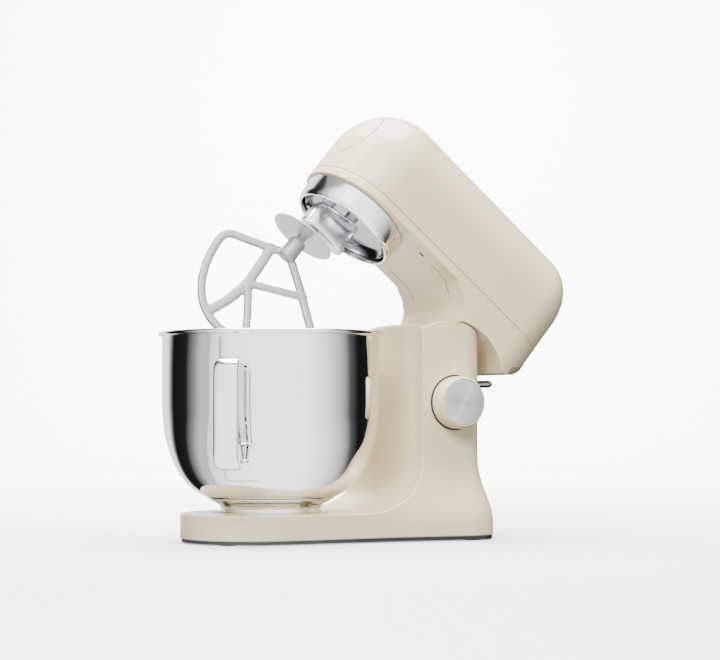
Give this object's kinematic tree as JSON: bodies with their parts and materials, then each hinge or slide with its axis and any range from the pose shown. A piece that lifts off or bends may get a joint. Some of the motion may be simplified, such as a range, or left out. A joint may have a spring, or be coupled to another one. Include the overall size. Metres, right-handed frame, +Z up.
{
  "type": "stand mixer",
  "caption": "Tilt-head stand mixer in cream enamel with a planetary hub, K-shaped beater, polished steel bowl with handle, side speed knob and head release lever.",
  "frame": {"origin": "where the bowl's axis meets the table", "axes": "+Z up, -X towards the bowl end, +X towards the pillar, speed knob on the -Y side"},
  "size_m": [0.4512, 0.2302, 0.4386],
  "materials": {
    "cream_enamel": "gloss cream enamel",
    "polished_steel": "mirror polished stainless steel",
    "chrome_trim": "polished chrome plate",
    "beater_alloy": "satin cast aluminium",
    "brushed_face": "turned, radial brush lines",
    "black_plastic": "matte black",
    "black_rubber": "matte",
    "bright_steel": "zinc-plated and machined steel",
    "cast_alloy": "raw casting",
    "bronze": "sintered bronze",
    "copper": "enamelled copper",
    "lamination": "stacked electrical steel",
    "circuit_board": "green solder mask",
    "nylon": "natural nylon",
    "white_print": "white print"
  },
  "bodies": {
    "stand": {"stand_casing": "cream_enamel", "base_plate": "black_plastic", "rubber_feet": "black_rubber", "base_screws": "bright_steel", "bowl_seat": "cream_enamel", "hinge_bracket": "bright_steel", "hinge_bushes": "bronze", "hinge_shaft": "bright_steel", "shaft_clips": "bright_steel", "control_board": "circuit_board", "board_heatsink": "cast_alloy", "speed_potentiometer": "black_plastic", "interlock_switch": "black_plastic", "cord_gland": "black_rubber", "lever_pin": "bright_steel", "lever_spring": "bright_steel", "knob_index": "white_print"},
    "head": {"head_casing": "cream_enamel", "head_cover": "cream_enamel", "casing_screws": "bright_steel", "hinge_arm": "cast_alloy", "arm_screws": "bright_steel", "gearbox_housing": "cast_alloy", "gearbox_lid": "cast_alloy", "lid_screws": "bright_steel", "hub_ring": "chrome_trim", "ring_gear": "bright_steel", "carrier_bearings": "bright_steel", "shaft_bearings": "bright_steel", "motor_stator": "lamination", "stator_coils": "copper", "motor_brackets": "cast_alloy", "carbon_brushes": "black_plastic", "vent_grille": "black_plastic", "outlet_collar": "black_plastic"},
    "rotor": {"motor_shaft": "bright_steel", "motor_pinion": "bronze", "armature": "lamination", "commutator": "copper", "cooling_fan": "black_plastic"},
    "layshaft_group": {"layshaft": "bright_steel", "layshaft_gear": "nylon", "layshaft_bevel": "bright_steel"},
    "outlet": {"outlet_drive": "bright_steel"},
    "carrier": {"carrier_shaft": "bright_steel", "bevel_wheel": "bright_steel", "carrier_dish": "chrome_trim", "planet_arm": "chrome_trim"},
    "tool": {"tool_shaft": "bright_steel", "planet_pinion": "bright_steel", "flour_shield": "beater_alloy", "beater": "beater_alloy"},
    "cap": {"outlet_cap": "cream_enamel"},
    "knob": {"knob_body": "cream_enamel", "knob_face": "brushed_face", "knob_spindle": "bright_steel"},
    "lever": {"release_lever": "chrome_trim"},
    "bowl": {"bowl_shell": "polished_steel", "bowl_foot": "polished_steel", "bowl_handle": "polished_steel"}
  },
  "joints": [
    {"name": "head_tilt", "type": "hinge", "parent": "stand", "child": "head", "pos_m": [0.1705, 0, 0.1607], "axis": [0, 1, 0], "range_deg": [-40, 0]},
    {"name": "planet_spin", "type": "hinge", "parent": "head", "child": "carrier", "pos_m": [0.0881, 0, 0.32775], "axis": [0.6428, 0, 0.766], "continuous": true},
    {"name": "tool_spin", "type": "hinge", "parent": "carrier", "child": "tool", "pos_m": [0.05605, 0, 0.33506], "axis": [0.6428, 0, 0.766], "continuous": true},
    {"name": "layshaft_spin", "type": "hinge", "parent": "head", "child": "layshaft_group", "pos_m": [0.19031, 0, 0.33988], "axis": [0.766, 0, -0.6428], "continuous": true},
    {"name": "outlet_spin", "type": "hinge", "parent": "head", "child": "outlet", "pos_m": [0.09839, 0, 0.41702], "axis": [0.766, 0, -0.6428], "continuous": true},
    {"name": "rotor_spin", "type": "hinge", "parent": "head", "child": "rotor", "pos_m": [0.22465, 0, 0.27191], "axis": [0.766, 0, -0.6428], "continuous": true},
    {"name": "cap_slide", "type": "slide", "parent": "head", "child": "cap", "axis": [-0.6157, 0, 0.788], "range_m": [0, 0.03]},
    {"name": "knob_turn", "type": "hinge", "parent": "stand", "child": "knob", "pos_m": [0.1766, -0.0654, 0.1403], "axis": [0, -1, 0], "range_deg": [-240, 40]},
    {"name": "lever_press", "type": "hinge", "parent": "stand", "child": "lever", "pos_m": [0.199, 0, 0.158], "axis": [0, 1, 0], "range_deg": [0, 14], "stiffness_Nm_per_rad": 0.2, "springref_deg": -28.65},
    {"name": "bowl_turn", "type": "hinge", "parent": "stand", "child": "bowl", "pos_m": [0, 0, 0.03], "axis": [0, 0, 1], "range_deg": [0, 34]}
  ],
  "couplings": [
    {"joint": "tool_spin", "follows": "planet_spin", "ratio": -4},
    {"joint": "layshaft_spin", "follows": "planet_spin", "ratio": 3},
    {"joint": "outlet_spin", "follows": "planet_spin", "ratio": -3},
    {"joint": "rotor_spin", "follows": "planet_spin", "ratio": -12}
  ]
}
